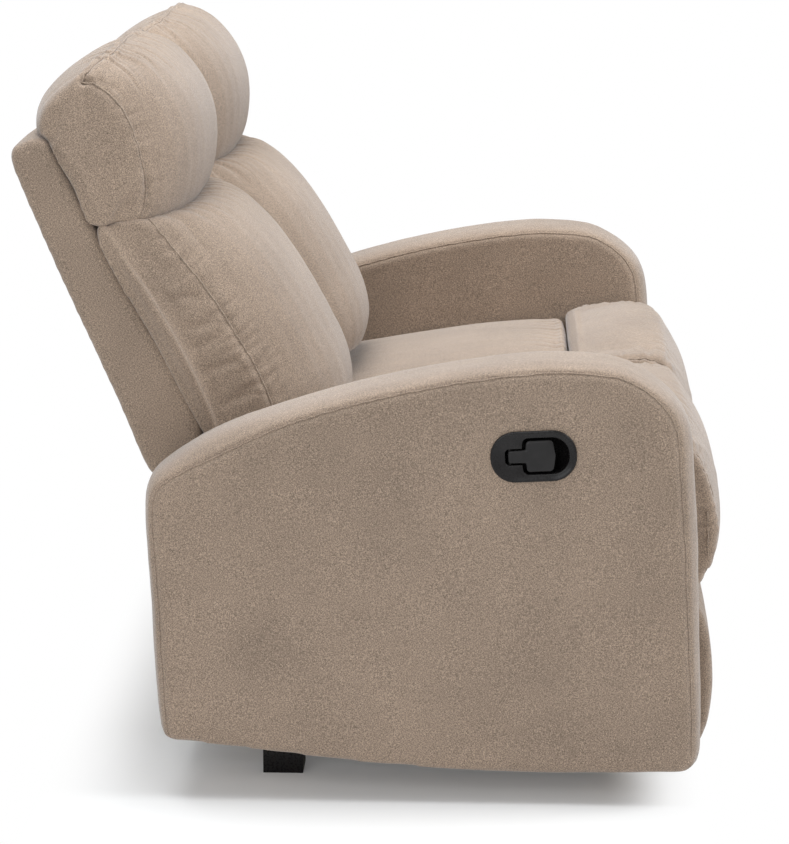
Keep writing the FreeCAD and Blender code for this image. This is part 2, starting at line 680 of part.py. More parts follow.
# Release cables: from the cup, down inside the arm frame, to the outer side plate
def cord_path(points):
    """Straight runs joined by tangent arcs, each as large as its two runs allow."""
    edges, radii = [], []
    here = points[0]
    for before, at, after in zip(points, points[1:], points[2:]):
        into, out = at - before, after - at
        shorter = min(into.Length, out.Length)
        turn = into.getAngle(out)
        into.normalize()
        out.normalize()
        radius = 0.45 * shorter / math.tan(turn / 2)
        first, last = at - into * 0.45 * shorter, at + out * 0.45 * shorter
        bisector = (out - into)
        bisector.normalize()
        middle = at + bisector * (radius / math.cos(turn / 2) - radius)
        edges += [Part.LineSegment(here, first).toShape(),
                  Part.Arc(first, middle, last).toShape()]
        radii.append(radius)
        here = last
    edges.append(Part.LineSegment(here, points[-1]).toShape())
    return Part.Wire(edges), radii


for word, side in SIDES.items():
    start_x = outer_x - 22
    end_x = size("seat_centre") + plate_out
    start_z = size("handle_z") - 2
    route = [(start_x, start_z), (start_x - 32, start_z), (start_x - 56, 458),
             (start_x - 60, 400),
             (start_x - 50, 345), (start_x - 50, 290), (start_x - 56, 255),
             (inner_x + 25, cable_end_z), (end_x, cable_end_z)]
    path, radii = cord_path([V(side * x, cable_y, z) for x, z in route])
    cord_r = size("cable_diameter") / 2
    start = V(side * start_x, cable_y, start_z)
    heading = V(-side, 0, 0)
    profile = Part.Wire([Part.Circle(start, heading, cord_r).toShape()])
    cord = path.makePipeShell([profile], True, False)
    print("cable %s length %.0f, radii %s, volume ratio %.4f" % (
        word, path.Length, [round(r) for r in radii],
        cord.Volume / (math.pi * cord_r ** 2 * path.Length)))
    node("release_cable_" + word, shaped("ReleaseCable_" + word, cord))

# Check every object, then write one file for each piece
doc.recompute()
for obj in doc.Objects:
    bad = [state for state in obj.State if state in ("Invalid", "Error")]
    if bad:
        raise RuntimeError("%s is %s" % (obj.Name, bad))
for name, obj in nodes.items():
    if obj.Shape.isNull() or not obj.Shape.isValid() or obj.Shape.Volume <= 0:
        raise RuntimeError("%s has no good shape" % name)
    obj.Shape.exportStep("parts/%s.step" % name)
    limits = obj.Shape.BoundBox
    print("%-28s solids %d volume %9.0f  x %.1f %.1f  y %.1f %.1f  z %.1f %.1f" % (
        name, len(obj.Shape.Solids), obj.Shape.Volume, limits.XMin, limits.XMax,
        limits.YMin, limits.YMax, limits.ZMin, limits.ZMax))
print("pieces", len(nodes))
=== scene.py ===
import bpy
import bmesh
import math
from mathutils import Matrix, Vector
from mathutils.bvhtree import BVHTree
from mathutils.kdtree import KDTree
from mathutils.noise import noise


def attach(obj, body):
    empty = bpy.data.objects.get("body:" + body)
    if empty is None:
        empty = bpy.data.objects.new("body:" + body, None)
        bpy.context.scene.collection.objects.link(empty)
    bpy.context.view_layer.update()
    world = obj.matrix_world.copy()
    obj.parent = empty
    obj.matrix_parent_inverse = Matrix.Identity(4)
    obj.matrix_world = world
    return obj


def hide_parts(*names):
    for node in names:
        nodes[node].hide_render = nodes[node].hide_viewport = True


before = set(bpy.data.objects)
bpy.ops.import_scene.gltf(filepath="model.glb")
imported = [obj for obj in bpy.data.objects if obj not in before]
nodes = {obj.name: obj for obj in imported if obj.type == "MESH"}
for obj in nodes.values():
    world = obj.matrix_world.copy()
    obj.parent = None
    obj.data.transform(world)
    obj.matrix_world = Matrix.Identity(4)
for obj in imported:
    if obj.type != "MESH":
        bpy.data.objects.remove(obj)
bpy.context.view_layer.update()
scene = bpy.context.scene


# Studio: a pale floor that keeps the sofa's shadow, a white surround and three soft lamps.
# The camera stands at the near arm and looks along the sofa and a little down.
def new_material(name):
    material = bpy.data.materials.new(name)
    material.use_nodes = True
    tree = material.node_tree
    return material, tree, tree.nodes["Principled BSDF"]


scene.view_settings.view_transform = "Standard"
world = bpy.data.worlds.new("white_surround")
scene.world = world
world.use_nodes = True
sky = world.node_tree
sky.nodes["Background"].inputs["Color"].default_value = (0.98, 0.99, 1.0, 1)
sky.nodes["Background"].inputs["Strength"].default_value = 0.42
white = sky.nodes.new("ShaderNodeBackground")
white.inputs["Color"].default_value = (1, 1, 1, 1)
seen = sky.nodes.new("ShaderNodeLightPath")
direct = sky.nodes.new("ShaderNodeMath")
direct.operation = "MAXIMUM"
sky.links.new(seen.outputs["Is Camera Ray"], direct.inputs[0])
sky.links.new(seen.outputs["Is Glossy Ray"], direct.inputs[1])
surround = sky.nodes.new("ShaderNodeMixShader")
sky.links.new(direct.outputs[0], surround.inputs["Fac"])
sky.links.new(sky.nodes["Background"].outputs[0], surround.inputs[1])
sky.links.new(white.outputs[0], surround.inputs[2])
sky.links.new(surround.outputs[0], sky.nodes["World Output"].inputs["Surface"])

bm = bmesh.new()
bmesh.ops.create_grid(bm, x_segments=1, y_segments=1, size=40)
floor_mesh = bpy.data.meshes.new("studio_floor")
bm.to_mesh(floor_mesh)
bm.free()
floor = bpy.data.objects.new("studio_floor", floor_mesh)
scene.collection.objects.link(floor)
floor_paint, tree, shader = new_material("floor_white")
shader.inputs["Base Color"].default_value = (0.80, 0.795, 0.79, 1)
shader.inputs["Roughness"].default_value = 0.9
shader.inputs["Specular IOR Level"].default_value = 0.1
glow = tree.nodes.new("ShaderNodeEmission")
glow.inputs["Strength"].default_value = 0.10
far_white = tree.nodes.new("ShaderNodeEmission")
place = tree.nodes.new("ShaderNodeTexCoord")
size_of = tree.nodes.new("ShaderNodeVectorMath")
size_of.operation = "ABSOLUTE"
split = tree.nodes.new("ShaderNodeSeparateXYZ")
fade = tree.nodes.new("ShaderNodeMath")
fade.operation = "MAXIMUM"
tree.links.new(place.outputs["Object"], size_of.inputs[0])
tree.links.new(size_of.outputs[0], split.inputs[0])
for axis, start, end in (("X", 0.68, 0.90), ("Y", 0.32, 0.47)):
    edge = tree.nodes.new("ShaderNodeMapRange")
    edge.interpolation_type = "SMOOTHSTEP"
    edge.inputs["From Min"].default_value = start
    edge.inputs["From Max"].default_value = end
    tree.links.new(split.outputs[axis], edge.inputs["Value"])
    tree.links.new(edge.outputs[0], fade.inputs[0 if axis == "X" else 1])
whitened = tree.nodes.new("ShaderNodeMixShader")
tree.links.new(fade.outputs[0], whitened.inputs["Fac"])
lit = tree.nodes.new("ShaderNodeAddShader")
seen = tree.nodes.new("ShaderNodeLightPath")
choice = tree.nodes.new("ShaderNodeMixShader")
tree.links.new(shader.outputs[0], lit.inputs[0])
tree.links.new(glow.outputs[0], lit.inputs[1])
tree.links.new(seen.outputs["Is Camera Ray"], choice.inputs["Fac"])
tree.links.new(shader.outputs[0], choice.inputs[1])
tree.links.new(lit.outputs[0], whitened.inputs[1])
tree.links.new(far_white.outputs[0], whitened.inputs[2])
tree.links.new(whitened.outputs[0], choice.inputs[2])
tree.links.new(choice.outputs[0], tree.nodes["Material Output"].inputs["Surface"])
floor_mesh.materials.append(floor_paint)


def lamp(name, place, aim, width, power):
    data = bpy.data.lights.new(name, "AREA")
    data.size = width
    data.energy = power
    data.color = (0.95, 0.98, 1.0)
    obj = bpy.data.objects.new(name, data)
    obj.location = place
    obj.rotation_euler = (Vector(aim) - Vector(place)).to_track_quat("-Z", "Y").to_euler()
    scene.collection.objects.link(obj)


lamp("front_lamp", (-0.6, -3.4, 3.4), (0, 0, 0.5), 2.2, 125)
lamp("top_lamp", (0.2, 0.4, 4.2), (0, 0, 0.4), 3.0, 185)
lamp("side_lamp", (-4.2, 1.6, 2.2), (0, 0, 0.5), 2.6, 55)

pitch, yaw = math.radians(13.404), math.radians(2.252)
ahead = Vector((math.cos(pitch) * math.cos(yaw), math.cos(pitch) * math.sin(yaw),
                -math.sin(pitch)))
rightward = Vector((math.sin(yaw), -math.cos(yaw), 0))
camera_data = bpy.data.cameras.new("camera")
sensor, focal_in_pixels, picture_height = 36, 2610, 844
camera_data.lens = focal_in_pixels / picture_height * sensor
camera_data.sensor_width = sensor
camera = bpy.data.objects.new("camera", camera_data)
camera.matrix_world = Matrix.Translation((-4.034, -0.167, 1.3526)) @ Matrix(
    (rightward, rightward.cross(ahead), -ahead)).transposed().to_4x4()
scene.collection.objects.link(camera)
scene.camera = camera


# Release cables: a sheathed steel cable runs from each pull handle, down inside the arm,
# to the latch side of the outer side plate. Its black sheath is 6 mm thick.
SIDES = {"near": -1, "far": 1}


def noise_factor(tree, scale, detail, stretch=(1, 1, 1)):
    """Noise on Object coordinates; a larger stretch on an axis makes it finer along it."""
    place = tree.nodes.new("ShaderNodeTexCoord")
    mapping = tree.nodes.new("ShaderNodeMapping")
    mapping.inputs["Scale"].default_value = stretch
    texture = tree.nodes.new("ShaderNodeTexNoise")
    texture.inputs["Scale"].default_value = scale
    texture.inputs["Detail"].default_value = detail
    tree.links.new(place.outputs["Object"], mapping.inputs["Vector"])
    tree.links.new(mapping.outputs[0], texture.inputs["Vector"])
    return texture.outputs["Fac"]


def colour_ramp(tree, factor, stops):
    ramp = tree.nodes.new("ShaderNodeValToRGB")
    while len(ramp.color_ramp.elements) < len(stops):
        ramp.color_ramp.elements.new(0.5)
    for element, (at, colour) in zip(ramp.color_ramp.elements, stops):
        element.position = at
        element.color = (*colour, 1)
    tree.links.new(factor, ramp.inputs["Fac"])
    return ramp.outputs["Color"]


def add_bump(tree, shader, height, strength, distance):
    bump = tree.nodes.new("ShaderNodeBump")
    bump.inputs["Strength"].default_value = strength
    bump.inputs["Distance"].default_value = distance
    tree.links.new(height, bump.inputs["Height"])
    tree.links.new(bump.outputs[0], shader.inputs["Normal"])


def plastic(name, colour, roughness, grain):
    """Moulded plastic with a fine spark-eroded grain."""
    material, tree, shader = new_material(name)
    shade = tuple(channel * 1.35 for channel in colour)
    tree.links.new(colour_ramp(tree, noise_factor(tree, 60, 3), [
        (0.35, colour), (0.70, shade)]), shader.inputs["Base Color"])
    tree.links.new(colour_ramp(tree, noise_factor(tree, 300, 2), [
        (0.3, (roughness - 0.05,) * 3), (0.7, (roughness + 0.06,) * 3)]),
        shader.inputs["Roughness"])
    shader.inputs["Specular IOR Level"].default_value = 0.24
    add_bump(tree, shader, noise_factor(tree, 1400, 2), grain, 0.0004)
    return material


sheath = plastic("cable_sheath", (0.012, 0.012, 0.013), 0.5, 0.2)
for word, side in SIDES.items():
    run = [(0.620, 0.496), (0.588, 0.496), (0.564, 0.458), (0.560, 0.400), (0.570, 0.345),
           (0.570, 0.290), (0.564, 0.255), (0.540, 0.198), (0.489, 0.198)]
    data = bpy.data.curves.new("release_cable_sheath_" + word, "CURVE")
    data.dimensions = "3D"
    data.bevel_depth = 0.003
    data.bevel_resolution = 3
    data.resolution_u = 8
    data.use_fill_caps = True
    spline = data.splines.new("NURBS")
    spline.points.add(len(run) - 1)
    for point, (x, z) in zip(spline.points, run):
        point.co = (side * x, -0.188, z, 1)
    spline.order_u = 3
    spline.use_endpoint_u = True
    cable = bpy.data.objects.new("release_cable_sheath_" + word, data)
    scene.collection.objects.link(cable)
    data.materials.append(sheath)
    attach(cable, "base")
    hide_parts("release_cable_" + word)


# Arms: each is a plywood box padded with foam, under a sewn cover of brushed greige weave.
# A flat panel covers each face, and a crowned band runs over the front, the top and the rear.
def greige(share):
    return tuple(channel * share for channel in (0.296, 0.223, 0.168))


def multiply(tree, first, second, share=1.0):
    mix = tree.nodes.new("ShaderNodeMix")
    mix.data_type = "RGBA"
    mix.blend_type = "MULTIPLY"
    mix.inputs["Factor"].default_value = share
    tree.links.new(first, mix.inputs["A"])
    tree.links.new(second, mix.inputs["B"])
    return mix.outputs["Result"]


def greys(*stops):
    return [(at, (level,) * 3) for at, level in stops]


def weave(name, level=1.0):
    """Brushed polyester weave: heathered yarns, patches of nap and a seam's shade."""
    material, tree, shader = new_material(name)
    colour = colour_ramp(tree, noise_factor(tree, 1500, 3), [
        (0.30, greige(0.42 * level)), (0.44, greige(0.86 * level)),
        (0.57, greige(1.14 * level)), (0.72, greige(1.80 * level))])
    for stretch in ((1, 0.30, 1), (1, 1, 0.30)):
        yarns = colour_ramp(tree, noise_factor(tree, 1350, 1, stretch), greys(
            (0.30, 0.66), (0.50, 1.0), (0.70, 1.30)))
        colour = multiply(tree, colour, yarns)
    nap = colour_ramp(tree, noise_factor(tree, 9, 6), greys(
        (0.30, 0.93), (0.50, 1.0), (0.72, 1.06)))
    colour = multiply(tree, colour, nap)
    streaks = colour_ramp(tree, noise_factor(tree, 22, 3, (3.5, 0.35, 0.35)), greys(
        (0.30, 0.94), (0.50, 1.0), (0.70, 1.05)))
    colour = multiply(tree, colour, streaks)
    tree.links.new(colour, shader.inputs["Base Color"])
    shader.inputs["Roughness"].default_value = 0.93
    shader.inputs["Specular IOR Level"].default_value = 0.15
    shader.inputs["Sheen Weight"].default_value = 0.38
    shader.inputs["Sheen Roughness"].default_value = 0.5
    shader.inputs["Sheen Tint"].default_value = (0.86, 0.88, 0.92, 1)
    add_bump(tree, shader, noise_factor(tree, 700, 2), 0.5, 0.0015)
    return material


cover = weave("greige_brushed_weave")
# the weave at a quarter of its level: painted shade for the dark lines along the seams
seam_shade = weave("seam_fold_shade", 0.24)


def smooth_ring(points, per_run):
    """A smooth closed line through the points, with the same number of steps in each run."""
    line = []
    count = len(points)
    for i in range(count):
        p = [Vector(points[(i + k - 1) % count]) for k in range(4)]
        t = [0.0]
        for a, b in zip(p, p[1:]):
            t.append(t[-1] + max((b - a).length, 0.1) ** 0.5)
        for j in range(per_run):
            s = t[1] + (t[2] - t[1]) * j / per_run
            a = [p[k] * ((t[k + 1] - s) / (t[k + 1] - t[k]))
                 + p[k + 1] * ((s - t[k]) / (t[k + 1] - t[k])) for k in range(3)]
            b = [a[k] * ((t[k + 2] - s) / (t[k + 2] - t[k]))
                 + a[k + 1] * ((s - t[k]) / (t[k + 2] - t[k])) for k in range(2)]
            line.append(b[0] * ((t[2] - s) / (t[2] - t[1])) + b[1] * ((s - t[1]) / (t[2] - t[1])))
    return line


def crowned_form(name, middle, side, across, per_run=5):
    """A closed form: its outline in mm goes from middle to side over stations across X.
    Each station is a place on X, or a function of (y, z) that gives it, and a share."""
    middle, side = smooth_ring(middle, per_run), smooth_ring(side, per_run)
    bm = bmesh.new()
    place = bm.verts.layers.int.new("place")
    bmesh.ops.create_circle(bm, cap_ends=True, segments=len(middle), radius=1)
    bm.verts.ensure_lookup_table()
    for index, vert in enumerate(bm.verts):
        vert[place] = index
    bm.faces.ensure_lookup_table()
    face = bm.faces[0]
    for number, (x, share) in enumerate(across):
        if number:
            last = face
            grown = bmesh.ops.extrude_face_region(bm, geom=[last])["geom"]
            face = next(item for item in grown if isinstance(item, bmesh.types.BMFace))
            if number > 1 and last.is_valid:
                bm.faces.remove(last)
        for vert in face.verts:
            y, z = middle[vert[place]].lerp(side[vert[place]], share)
            vert.co = Vector((x(y, z) if callable(x) else x, y, z)) * 0.001
    bmesh.ops.recalc_face_normals(bm, faces=bm.faces)
    mesh = bpy.data.meshes.new(name)
    bm.to_mesh(mesh)
    bm.free()
    obj = bpy.data.objects.new(name, mesh)
    scene.collection.objects.link(obj)
    return obj


def settle(obj):
    """Applies the modifiers, so that nothing live is left on the piece."""
    bpy.context.view_layer.update()
    shaped = obj.evaluated_get(bpy.context.evaluated_depsgraph_get())
    mesh = bpy.data.meshes.new_from_object(shaped)
    old = obj.data
    obj.modifiers.clear()
    obj.data = mesh
    bpy.data.meshes.remove(old)
    mesh.polygons.foreach_set("use_smooth", [True] * len(mesh.polygons))
    return obj


def remesh(obj, voxel):
    modifier = obj.modifiers.new("even_faces", "REMESH")
    modifier.mode = "VOXEL"
    modifier.voxel_size = voxel
    return settle(obj)


def subdivide(obj):
    modifier = obj.modifiers.new("finer", "SUBSURF")
    modifier.levels = modifier.render_levels = 1
    return settle(obj)


def move_points(obj, shift):
    """Moves each point along its normal by shift(point), in metres."""
    mesh = obj.data
    normals = [vert.normal.copy() for vert in mesh.vertices]
    for vert, normal in zip(mesh.vertices, normals):
        vert.co += normal * shift(vert.co)
    mesh.update()


def dense(path, gap=0.002):
    """A path's points, spaced closely."""
    points = []
    for a, b in zip(path, path[1:]):
        steps = max(1, int((b - a).length / gap))
        points += [a.lerp(b, i / steps) for i in range(steps)]
    return points + [path[-1]]


def press_lines(obj, lines):
    """Presses soft lines into a pad. Each is a path in metres, a depth and a width."""
    trees = []
    for path, depth, width in lines:
        points = dense(path)
        tree = KDTree(len(points))
        for index, point in enumerate(points):
            tree.insert(point, index)
        tree.balance()
        trees.append((tree, depth, width))

    def shift(co):
        total = 0.0
        for tree, depth, width in trees:
            gap = tree.find(co)[2]
            if gap < 3 * width:
                total -= depth * math.exp(-(gap / width) ** 2)
        return total

    move_points(obj, shift)


def lay_seam_shade(obj, paths, radius=0.0011):
    """Lays a thin tube along each seam, snapped to the pad's surface, in the darker weave that
    paints the shade in the seam's groove.
    """
    bm = bmesh.new()
    bm.from_mesh(obj.data)
    surface = BVHTree.FromBMesh(bm)
    for face in bm.faces:
        face.material_index = 0
    for path in paths:
        data = bpy.data.curves.new("seam_path", "CURVE")
        data.dimensions = "3D"
        data.bevel_depth = radius
        data.bevel_resolution = 1
        points = dense(path, 0.006)
        spline = data.splines.new("POLY")
        spline.points.add(len(points) - 1)
        for knot, point in zip(spline.points, points):
            where, normal = surface.find_nearest(point)[:2]
            knot.co = (*(where + normal * radius * 0.25), 1)
        line = bpy.data.objects.new("seam_path", data)
        tube = bpy.data.meshes.new_from_object(line)
        first = len(bm.faces)
        bm.from_mesh(tube)
        bm.faces.ensure_lookup_table()
        for face in bm.faces[first:]:
            face.material_index = 1
            face.smooth = True
        bpy.data.objects.remove(line)
        bpy.data.meshes.remove(tube)
        bpy.data.curves.remove(data)
    bm.to_mesh(obj.data)
    bm.free()


def opposite(obj, name):
    """The mirror image of a piece, for the other half of the sofa."""
    bm = bmesh.new()
    bm.from_mesh(obj.data)
    bmesh.ops.scale(bm, vec=(-1, 1, 1), verts=bm.verts)
    bmesh.ops.reverse_faces(bm, faces=bm.faces)
    mesh = bpy.data.meshes.new(name)
    bm.to_mesh(mesh)
    bm.free()
    twin = bpy.data.objects.new(name, mesh)
    scene.collection.objects.link(twin)
    return twin


def dress(obj, body, fill, *replaced):
    """The cover's finish and its painted seam shade, and what the pad rides on and stands for."""
    obj.data.materials.clear()
    obj.data.materials.append(cover)
    obj.data.materials.append(seam_shade)
    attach(obj, body)
    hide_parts(*replaced)


arm_seam = [
    (-385, 50), (-438, 56), (-443, 105), (-434, 270), (-421, 450), (-406, 550),
    (-350, 601), (-272, 613), (-193, 609), (-37, 582), (117, 537), (195, 500),
    (269, 463), (289, 447), (297, 425), (291, 270), (284, 110), (279, 90),
    (250, 85), (100, 68), (-60, 53), (-220, 45)]
arm_rise = [
    (0, 0), (-12, 0), (-13, 0), (-16, 0), (-20, -10), (-17, 4),
    (0, 9), (-2, 9), (0, 11), (0, 12), (0, 15), (14, 18),
    (12, 10), (14, 5), (12, 0), (12, 0), (11, 0), (11, 0),
    (0, 0), (0, 0), (0, 0), (0, 0)]
arm_crown = [(y + dy, z + dz) for (y, z), (dy, dz) in zip(arm_seam, arm_rise)]
across = [(-642 + 127 * i / 14, abs(i / 7 - 1) ** 3.5) for i in range(15)]
arm = remesh(crowned_form("arm_cover_near", arm_crown, arm_seam, across), 0.0075)
seam_line = smooth_ring(arm_seam, 6)[9:103]
outer_seam = [Vector((-642, y, z)) * 0.001 for y, z in seam_line]
inner_seam = [Vector((-515, y, z)) * 0.001 for y, z in seam_line]
subdivide(arm)
press_lines(arm, [(outer_seam, 0.0028, 0.0055), (inner_seam, 0.0028, 0.0055)])


def arm_softness(co):
    """Slight waves of the padding under the flat panels."""
    return 0.0011 * noise(Vector((co.x * 3, co.y * 7, co.z * 7))) \
        + 0.0004 * noise(Vector((co.x * 20, co.y * 32, co.z * 32)))


move_points(arm, arm_softness)
# dark tubes along the arm's seams: painted seam shade
lay_seam_shade(arm, [outer_seam, inner_seam])

# the pocket that the handle's cup sits in, tilted a little as the handle is
handle_centre = Vector((-0.642, -0.220, 0.498))
pocket_depth = 0.034
bm = bmesh.new()
bm.from_mesh(arm.data)
level = Matrix.Rotation(math.radians(3), 3, "X")
inside = []
for face in bm.faces:
    offset = level @ (face.calc_center_median() - handle_centre)
    if offset.x < 0.02 and math.hypot(max(0, abs(offset.y) - 0.023), offset.z) < 0.031:
        inside.append(face)
bmesh.ops.delete(bm, geom=inside, context="FACES")
rim = [edge for edge in bm.edges if edge.is_boundary
       and (edge.verts[0].co - handle_centre).length < 0.08]
pocket = bmesh.ops.extrude_edge_only(bm, edges=rim)["geom"]
bmesh.ops.translate(bm, vec=(pocket_depth, 0, 0), verts=[
    item for item in pocket if isinstance(item, bmesh.types.BMVert)])
bmesh.ops.holes_fill(bm, edges=[
    item for item in pocket if isinstance(item, bmesh.types.BMEdge) and item.is_boundary])
bm.to_mesh(arm.data)
bm.free()
arm_far = opposite(arm, "arm_cover_far")
dress(arm, "base", 0.9, "arm_pad_near")
dress(arm_far, "base", 0.9, "arm_pad_far")


# Arm frames: poplar plywood sides with solid rails between them, unseen inside the covers.
def timber(name, pale, dark):
    """Planed wood, its grain drawn out along Y."""
    material, tree, shader = new_material(name)
    grain = noise_factor(tree, 38, 5, (1.0, 0.12, 2.2))
    tree.links.new(colour_ramp(tree, grain, [(0.32, dark), (0.52, pale), (0.74, tuple(
        min(1, channel * 1.12) for channel in pale))]), shader.inputs["Base Color"])
    shader.inputs["Roughness"].default_value = 0.72
    add_bump(tree, shader, grain, 0.25, 0.0008)
    return material


def finish_node(name, material):
    for spot in nodes[name].material_slots:
        spot.material = material
    if not nodes[name].material_slots:
        nodes[name].data.materials.append(material)


plywood = timber("poplar_plywood", (0.50, 0.36, 0.21), (0.36, 0.24, 0.13))
for word in SIDES:
    finish_node("arm_frame_" + word, plywood)


# Pull handles: a moulded black cup sunk in each arm, with a T-shaped paddle hinged in it
# and a bent steel leaf behind the paddle that returns it.
black = plastic("black_moulded_plastic", (0.007, 0.006, 0.006), 0.28, 0.25)


def rounded(corners, steps=8):
    """A closed line with a round at each corner; a corner is (y, z, radius)."""
    line = []
    for k, (y, z, radius) in enumerate(corners):
        at = Vector((y, z))
        before = (Vector(corners[k - 1][:2]) - at).normalized()
        after = (Vector(corners[(k + 1) % len(corners)][:2]) - at).normalized()
        half = before.angle(after) / 2
        centre = at + (before + after).normalized() * (radius / math.sin(half))
        first = at + before * (radius / math.tan(half)) - centre
        last = at + after * (radius / math.tan(half)) - centre
        for i in range(steps + 1):
            line.append(centre + first.lerp(last, i / steps).normalized() * radius)
    return line


def reach_around(line, count=160):
    """How far a line lies from the middle, in even steps of angle."""
    reaches = []
    for i in range(count):
        ray = Vector((math.cos(2 * math.pi * i / count), math.sin(2 * math.pi * i / count)))
        best = 0.0
        for a, b in zip(line, line[1:] + line[:1]):
            edge = b - a
            area = ray.x * edge.y - ray.y * edge.x
            if abs(area) > 1e-9:
                far = (a.x * edge.y - a.y * edge.x) / area
                share = (a.x * ray.y - a.y * ray.x) / area
                if far > 0 and -1e-6 <= share <= 1 + 1e-6:
                    best = max(best, far)
        reaches.append((ray, best))
    return reaches


def moulding(name, rings):
    """A closed moulded form on the near arm's face. A ring is a line's reaches, how far it
    is moved out from the middle, and its height over the cover, in mm."""
    bm = bmesh.new()
    place = bm.verts.layers.int.new("place")
    bmesh.ops.create_circle(bm, cap_ends=True, segments=len(rings[0][0]), radius=1)
    for index, vert in enumerate(bm.verts):
        vert[place] = index
    bm.faces.ensure_lookup_table()
    face = bm.faces[0]
    for number, (reaches, out, height) in enumerate(rings):
        if number:
            last = face
            grown = bmesh.ops.extrude_face_region(bm, geom=[last])["geom"]
            face = next(item for item in grown if isinstance(item, bmesh.types.BMFace))
            if number > 1 and last.is_valid:
                bm.faces.remove(last)
        for vert in face.verts:
            ray, far = reaches[vert[place]]
            y, z = ray * (far + out)
            spot = level.inverted() @ Vector((-height, y, z))
            vert.co = (spot + Vector((-642, -220, 498))) * 0.001
    bmesh.ops.recalc_face_normals(bm, faces=bm.faces)
    mesh = bpy.data.meshes.new(name)
    bm.to_mesh(mesh)
    bm.free()
    mesh.polygons.foreach_set("use_smooth", [True] * len(mesh.polygons))
    obj = bpy.data.objects.new(name, mesh)
    scene.collection.objects.link(obj)
    return obj


def metal(name, colour, roughness, metallic):
    """Rolled steel, bare, plated or painted, with faint rolling marks."""
    material, tree, shader = new_material(name)
    worn = tuple(min(1, channel * 1.25 + 0.004) for channel in colour)
    tree.links.new(colour_ramp(tree, noise_factor(tree, 25, 5, (1, 0.3, 1)), [
        (0.35, colour), (0.75, worn)]), shader.inputs["Base Color"])
    shader.inputs["Metallic"].default_value = metallic
    tree.links.new(colour_ramp(tree, noise_factor(tree, 120, 3, (1, 0.2, 1)), greys(
        (0.3, roughness - 0.06), (0.7, roughness + 0.08))), shader.inputs["Roughness"])
    add_bump(tree, shader, noise_factor(tree, 500, 2, (1, 0.2, 1)), 0.15, 0.0004)
    return material


spring_steel = metal("oil_tempered_spring_wire", (0.20, 0.20, 0.21), 0.34, 1.0)
flange = reach_around(rounded([
    (-58, -35, 33), (58, -35, 33), (58, 35, 33), (-58, 35, 33)]))
recess = reach_around(rounded([
    (-47.5, -25, 23), (14, -25, 8), (15, -11, 1.5), (38, -11, 6),
    (38, 11, 6), (15, 11, 1.5), (14, 25, 8), (-47.5, 25, 23)]))
blade = reach_around(rounded([
    (-29.5, 0, 3), (-26, -21.5, 6), (9.5, -21.5, 5), (10.5, -9, 2), (34, -8.5, 3),
    (34, 8.5, 3), (10.5, 9, 2), (9.5, 21.5, 5), (-26, 21.5, 6)]))
bezel = moulding("handle_bezel_near", [
    (recess, 3, -28), (recess, 3, -1.5), (flange, 0, -1.5), (flange, 0, 1.0),
    (flange, -0.5, 2.1), (flange, -1.5, 2.9), (flange, -2.8, 3.1), (flange, -4.0, 2.8),
    (flange, -5.0, 2.1), (recess, 2.4, 1.7), (recess, 1.2, 1.4), (recess, 0.4, 0.7),
    (recess, 0, -0.4), (recess, -0.3, -10), (recess, -0.8, -25)])
lever = moulding("handle_lever_near", [
    (blade, -1.5, -3), (blade, -0.3, -2.6), (blade, 0, -1.6), (blade, 0, 0.0),
    (blade, -0.5, 0.6), (blade, -3.2, 1.4), (blade, -4.6, 1.5)])
bm = bmesh.new()
bm.from_mesh(lever.data)
foot = bmesh.ops.create_cube(bm, size=1)["verts"]
bmesh.ops.scale(bm, vec=(0.0125, 0.006, 0.008), verts=foot)
bmesh.ops.translate(bm, vec=(-0.6328, -0.1892, 0.498), verts=foot)
rod = bmesh.ops.create_cone(bm, cap_ends=True, segments=20, radius1=0.0022, radius2=0.0022,
                            depth=0.030)["verts"]
bmesh.ops.translate(bm, vec=(-0.637, -0.188, 0.498), verts=rod)
bmesh.ops.rotate(bm, cent=(-0.637, -0.220, 0.498), matrix=level.inverted(),
                 verts=foot + rod)
bm.to_mesh(lever.data)
bm.free()
lever_grey = plastic("grey_moulded_plastic", (0.013, 0.012, 0.012), 0.36, 0.35)
for word in SIDES:
    if word == "far":
        bezel = opposite(bezel, "handle_bezel_far")
        lever = opposite(lever, "handle_lever_far")
    bezel.data.materials.clear()
    bezel.data.materials.append(black)
    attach(bezel, "base")
    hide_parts("handle_cup_" + word)
    lever.data.materials.clear()
    lever.data.materials.append(lever_grey)
    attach(lever, "handle_" + word)
    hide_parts("handle_paddle_" + word)
    finish_node("return_spring_" + word, spring_steel)


# Base: two pine cross rails carry the arms and both mechanisms. The rear panel is a board
# in the same weave, and four moulded feet are bolted up through the rails.
pine = timber("planed_pine", (0.60, 0.44, 0.25), (0.44, 0.29, 0.15))
zinc = metal("zinc_plated_steel", (0.52, 0.53, 0.54), 0.35, 1.0)
finish_node("base_rail_front", pine)
finish_node("base_rail_rear", pine)
finish_node("rear_panel", cover)
finish_node("foot_bolts", zinc)
finish_node("feet", black)


# Mechanisms: pressed steel plates, swing arms, couplers and links in black enamel, turning
# on zinc-plated shoulder pins.
enamel = metal("black_enamelled_steel", (0.016, 0.016, 0.018), 0.40, 0.0)
finish_node("plate_pins", zinc)
finish_node("recline_pins", zinc)
for word in SIDES:
    for node in ("side_plate_%s_outer", "side_plate_%s_inner", "front_arms_%s",
                 "rear_arms_%s", "couplers_%s", "control_links_%s",
                 "footrest_brackets_%s", "recline_brackets_%s"):
        finish_node(node % word, enamel)
    for node in ("front_arm_pins_%s", "rear_arm_pins_%s", "footrest_pins_%s"):
        finish_node(node % word, zinc)


